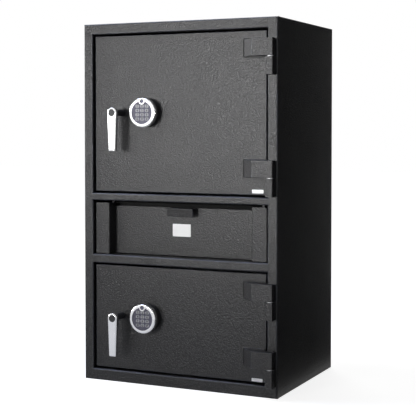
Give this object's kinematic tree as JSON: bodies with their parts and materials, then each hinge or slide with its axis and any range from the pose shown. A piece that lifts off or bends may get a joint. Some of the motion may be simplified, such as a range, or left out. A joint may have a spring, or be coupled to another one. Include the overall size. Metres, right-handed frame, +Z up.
{
  "type": "drop safe with deposit drawer",
  "caption": "Upright two-door steel drop safe with a deposit drawer between its compartments, keypad locks, lever handles and outside hinges.",
  "frame": {"origin": "centre of the four floor anchor holes, on the underside of the floor plate", "axes": "+Z up, +X to the right as seen from the front, +Y from the front to the back, so the doors and the drawer face -Y"},
  "size_m": [0.585, 0.487, 1],
  "materials": {
    "black_coat": "black fine-textured powder coat on steel, low satin gloss",
    "satin_chrome": "satin chrome on cast zinc",
    "bright_steel": "ground steel",
    "zinc_plate": "zinc-plated sheet steel",
    "cast_zinc": "die-cast zinc, matt",
    "black_oxide": "dull black oxide on the flap and its rod",
    "lock_brass": "machined brass",
    "black_plastic": "moulded black plastic, fine grain",
    "grey_keys": "light grey silicone rubber keys with dark figures",
    "keypad_face": "violet grey moulded keypad face",
    "key_print": "dark printed figures",
    "lamp_lens": "dark smoked lens over the keypad's lamp",
    "white_plate": "white enamelled plates, bare"
  },
  "bodies": {
    "cabinet": {"side_walls": "black_coat", "roof_plate": "black_coat", "floor_plate": "black_coat", "back_plate": "black_coat", "front_frame": "black_coat", "chamber_roof": "black_coat", "chamber_floor": "black_coat", "drawer_runners": "zinc_plate", "hinge_blocks": "black_coat", "hinge_pins": "bright_steel", "shelf": "black_coat", "flap_rod": "black_oxide"},
    "flap": {"drop_flap": "black_oxide"},
    "drawer": {"drawer_front": "black_coat", "drawer_tray": "zinc_plate", "drawer_pull": "black_coat"},
    "upper_door": {"upper_door_plate": "black_coat", "upper_hinge_leaves": "black_coat", "upper_boltwork_box": "zinc_plate", "upper_lock_case": "cast_zinc", "upper_keypad_housing": "black_plastic", "upper_keypad_ring": "satin_chrome"},
    "upper_handle": {"upper_lever": "satin_chrome", "upper_spindle": "black_plastic"},
    "upper_bolts": {"upper_bolt_bar": "zinc_plate"},
    "upper_lock": {"upper_lock_bolt": "lock_brass"},
    "upper_key_1": {"upper_key_1": "grey_keys"},
    "upper_key_2": {"upper_key_2": "grey_keys"},
    "upper_key_3": {"upper_key_3": "grey_keys"},
    "upper_key_4": {"upper_key_4": "grey_keys"},
    "upper_key_5": {"upper_key_5": "grey_keys"},
    "upper_key_6": {"upper_key_6": "grey_keys"},
    "upper_key_7": {"upper_key_7": "grey_keys"},
    "upper_key_8": {"upper_key_8": "grey_keys"},
    "upper_key_9": {"upper_key_9": "grey_keys"},
    "upper_key_star": {"upper_key_star": "grey_keys"},
    "upper_key_0": {"upper_key_0": "grey_keys"},
    "upper_key_hash": {"upper_key_hash": "grey_keys"},
    "lower_door": {"lower_door_plate": "black_coat", "lower_hinge_leaves": "black_coat", "lower_boltwork_box": "zinc_plate", "lower_lock_case": "cast_zinc", "lower_keypad_housing": "black_plastic", "lower_keypad_ring": "satin_chrome"},
    "lower_handle": {"lower_lever": "satin_chrome", "lower_spindle": "black_plastic"},
    "lower_bolts": {"lower_bolt_bar": "zinc_plate"},
    "lower_lock": {"lower_lock_bolt": "lock_brass"},
    "lower_key_1": {"lower_key_1": "grey_keys"},
    "lower_key_2": {"lower_key_2": "grey_keys"},
    "lower_key_3": {"lower_key_3": "grey_keys"},
    "lower_key_4": {"lower_key_4": "grey_keys"},
    "lower_key_5": {"lower_key_5": "grey_keys"},
    "lower_key_6": {"lower_key_6": "grey_keys"},
    "lower_key_7": {"lower_key_7": "grey_keys"},
    "lower_key_8": {"lower_key_8": "grey_keys"},
    "lower_key_9": {"lower_key_9": "grey_keys"},
    "lower_key_star": {"lower_key_star": "grey_keys"},
    "lower_key_0": {"lower_key_0": "grey_keys"},
    "lower_key_hash": {"lower_key_hash": "grey_keys"}
  },
  "joints": [
    {"name": "drawer_slide", "type": "slide", "parent": "cabinet", "child": "drawer", "axis": [0, -1, 0], "range_m": [0, 0.215]},
    {"name": "flap_swing", "type": "hinge", "parent": "cabinet", "child": "flap", "pos_m": [0, -0.1515, 0.497], "axis": [1, 0, 0], "range_deg": [0, 75]},
    {"name": "upper_door_hinge", "type": "hinge", "parent": "cabinet", "child": "upper_door", "pos_m": [0.2795, -0.23675, 0.7495], "axis": [0, 0, 1], "range_deg": [0, 170]},
    {"name": "upper_handle_turn", "type": "hinge", "parent": "upper_door", "child": "upper_handle", "pos_m": [-0.174, -0.2175, 0.752], "axis": [0, 1, 0], "range_deg": [0, 60]},
    {"name": "upper_bolt_slide", "type": "slide", "parent": "upper_door", "child": "upper_bolts", "axis": [-1, 0, 0], "range_m": [0, 0.02]},
    {"name": "upper_lock_slide", "type": "slide", "parent": "upper_door", "child": "upper_lock", "axis": [0, 0, -1], "range_m": [0, 0.009]},
    {"name": "upper_key_1_press", "type": "slide", "parent": "upper_door", "child": "upper_key_1", "axis": [0, 1, 0], "range_m": [0, 0.0012], "stiffness_N_per_m": 200},
    {"name": "upper_key_2_press", "type": "slide", "parent": "upper_door", "child": "upper_key_2", "axis": [0, 1, 0], "range_m": [0, 0.0012], "stiffness_N_per_m": 200},
    {"name": "upper_key_3_press", "type": "slide", "parent": "upper_door", "child": "upper_key_3", "axis": [0, 1, 0], "range_m": [0, 0.0012], "stiffness_N_per_m": 200},
    {"name": "upper_key_4_press", "type": "slide", "parent": "upper_door", "child": "upper_key_4", "axis": [0, 1, 0], "range_m": [0, 0.0012], "stiffness_N_per_m": 200},
    {"name": "upper_key_5_press", "type": "slide", "parent": "upper_door", "child": "upper_key_5", "axis": [0, 1, 0], "range_m": [0, 0.0012], "stiffness_N_per_m": 200},
    {"name": "upper_key_6_press", "type": "slide", "parent": "upper_door", "child": "upper_key_6", "axis": [0, 1, 0], "range_m": [0, 0.0012], "stiffness_N_per_m": 200},
    {"name": "upper_key_7_press", "type": "slide", "parent": "upper_door", "child": "upper_key_7", "axis": [0, 1, 0], "range_m": [0, 0.0012], "stiffness_N_per_m": 200},
    {"name": "upper_key_8_press", "type": "slide", "parent": "upper_door", "child": "upper_key_8", "axis": [0, 1, 0], "range_m": [0, 0.0012], "stiffness_N_per_m": 200},
    {"name": "upper_key_9_press", "type": "slide", "parent": "upper_door", "child": "upper_key_9", "axis": [0, 1, 0], "range_m": [0, 0.0012], "stiffness_N_per_m": 200},
    {"name": "upper_key_star_press", "type": "slide", "parent": "upper_door", "child": "upper_key_star", "axis": [0, 1, 0], "range_m": [0, 0.0012], "stiffness_N_per_m": 200},
    {"name": "upper_key_0_press", "type": "slide", "parent": "upper_door", "child": "upper_key_0", "axis": [0, 1, 0], "range_m": [0, 0.0012], "stiffness_N_per_m": 200},
    {"name": "upper_key_hash_press", "type": "slide", "parent": "upper_door", "child": "upper_key_hash", "axis": [0, 1, 0], "range_m": [0, 0.0012], "stiffness_N_per_m": 200},
    {"name": "lower_door_hinge", "type": "hinge", "parent": "cabinet", "child": "lower_door", "pos_m": [0.2795, -0.23675, 0.182], "axis": [0, 0, 1], "range_deg": [0, 170]},
    {"name": "lower_handle_turn", "type": "hinge", "parent": "lower_door", "child": "lower_handle", "pos_m": [-0.174, -0.2175, 0.187], "axis": [0, 1, 0], "range_deg": [0, 60]},
    {"name": "lower_bolt_slide", "type": "slide", "parent": "lower_door", "child": "lower_bolts", "axis": [-1, 0, 0], "range_m": [0, 0.02]},
    {"name": "lower_lock_slide", "type": "slide", "parent": "lower_door", "child": "lower_lock", "axis": [0, 0, -1], "range_m": [0, 0.009]},
    {"name": "lower_key_1_press", "type": "slide", "parent": "lower_door", "child": "lower_key_1", "axis": [0, 1, 0], "range_m": [0, 0.0012], "stiffness_N_per_m": 200},
    {"name": "lower_key_2_press", "type": "slide", "parent": "lower_door", "child": "lower_key_2", "axis": [0, 1, 0], "range_m": [0, 0.0012], "stiffness_N_per_m": 200},
    {"name": "lower_key_3_press", "type": "slide", "parent": "lower_door", "child": "lower_key_3", "axis": [0, 1, 0], "range_m": [0, 0.0012], "stiffness_N_per_m": 200},
    {"name": "lower_key_4_press", "type": "slide", "parent": "lower_door", "child": "lower_key_4", "axis": [0, 1, 0], "range_m": [0, 0.0012], "stiffness_N_per_m": 200},
    {"name": "lower_key_5_press", "type": "slide", "parent": "lower_door", "child": "lower_key_5", "axis": [0, 1, 0], "range_m": [0, 0.0012], "stiffness_N_per_m": 200},
    {"name": "lower_key_6_press", "type": "slide", "parent": "lower_door", "child": "lower_key_6", "axis": [0, 1, 0], "range_m": [0, 0.0012], "stiffness_N_per_m": 200},
    {"name": "lower_key_7_press", "type": "slide", "parent": "lower_door", "child": "lower_key_7", "axis": [0, 1, 0], "range_m": [0, 0.0012], "stiffness_N_per_m": 200},
    {"name": "lower_key_8_press", "type": "slide", "parent": "lower_door", "child": "lower_key_8", "axis": [0, 1, 0], "range_m": [0, 0.0012], "stiffness_N_per_m": 200},
    {"name": "lower_key_9_press", "type": "slide", "parent": "lower_door", "child": "lower_key_9", "axis": [0, 1, 0], "range_m": [0, 0.0012], "stiffness_N_per_m": 200},
    {"name": "lower_key_star_press", "type": "slide", "parent": "lower_door", "child": "lower_key_star", "axis": [0, 1, 0], "range_m": [0, 0.0012], "stiffness_N_per_m": 200},
    {"name": "lower_key_0_press", "type": "slide", "parent": "lower_door", "child": "lower_key_0", "axis": [0, 1, 0], "range_m": [0, 0.0012], "stiffness_N_per_m": 200},
    {"name": "lower_key_hash_press", "type": "slide", "parent": "lower_door", "child": "lower_key_hash", "axis": [0, 1, 0], "range_m": [0, 0.0012], "stiffness_N_per_m": 200}
  ],
  "couplings": [
    {"joint": "upper_bolt_slide", "follows": "upper_handle_turn", "m_per_rad": 0.019098},
    {"joint": "lower_bolt_slide", "follows": "lower_handle_turn", "m_per_rad": 0.019098}
  ]
}
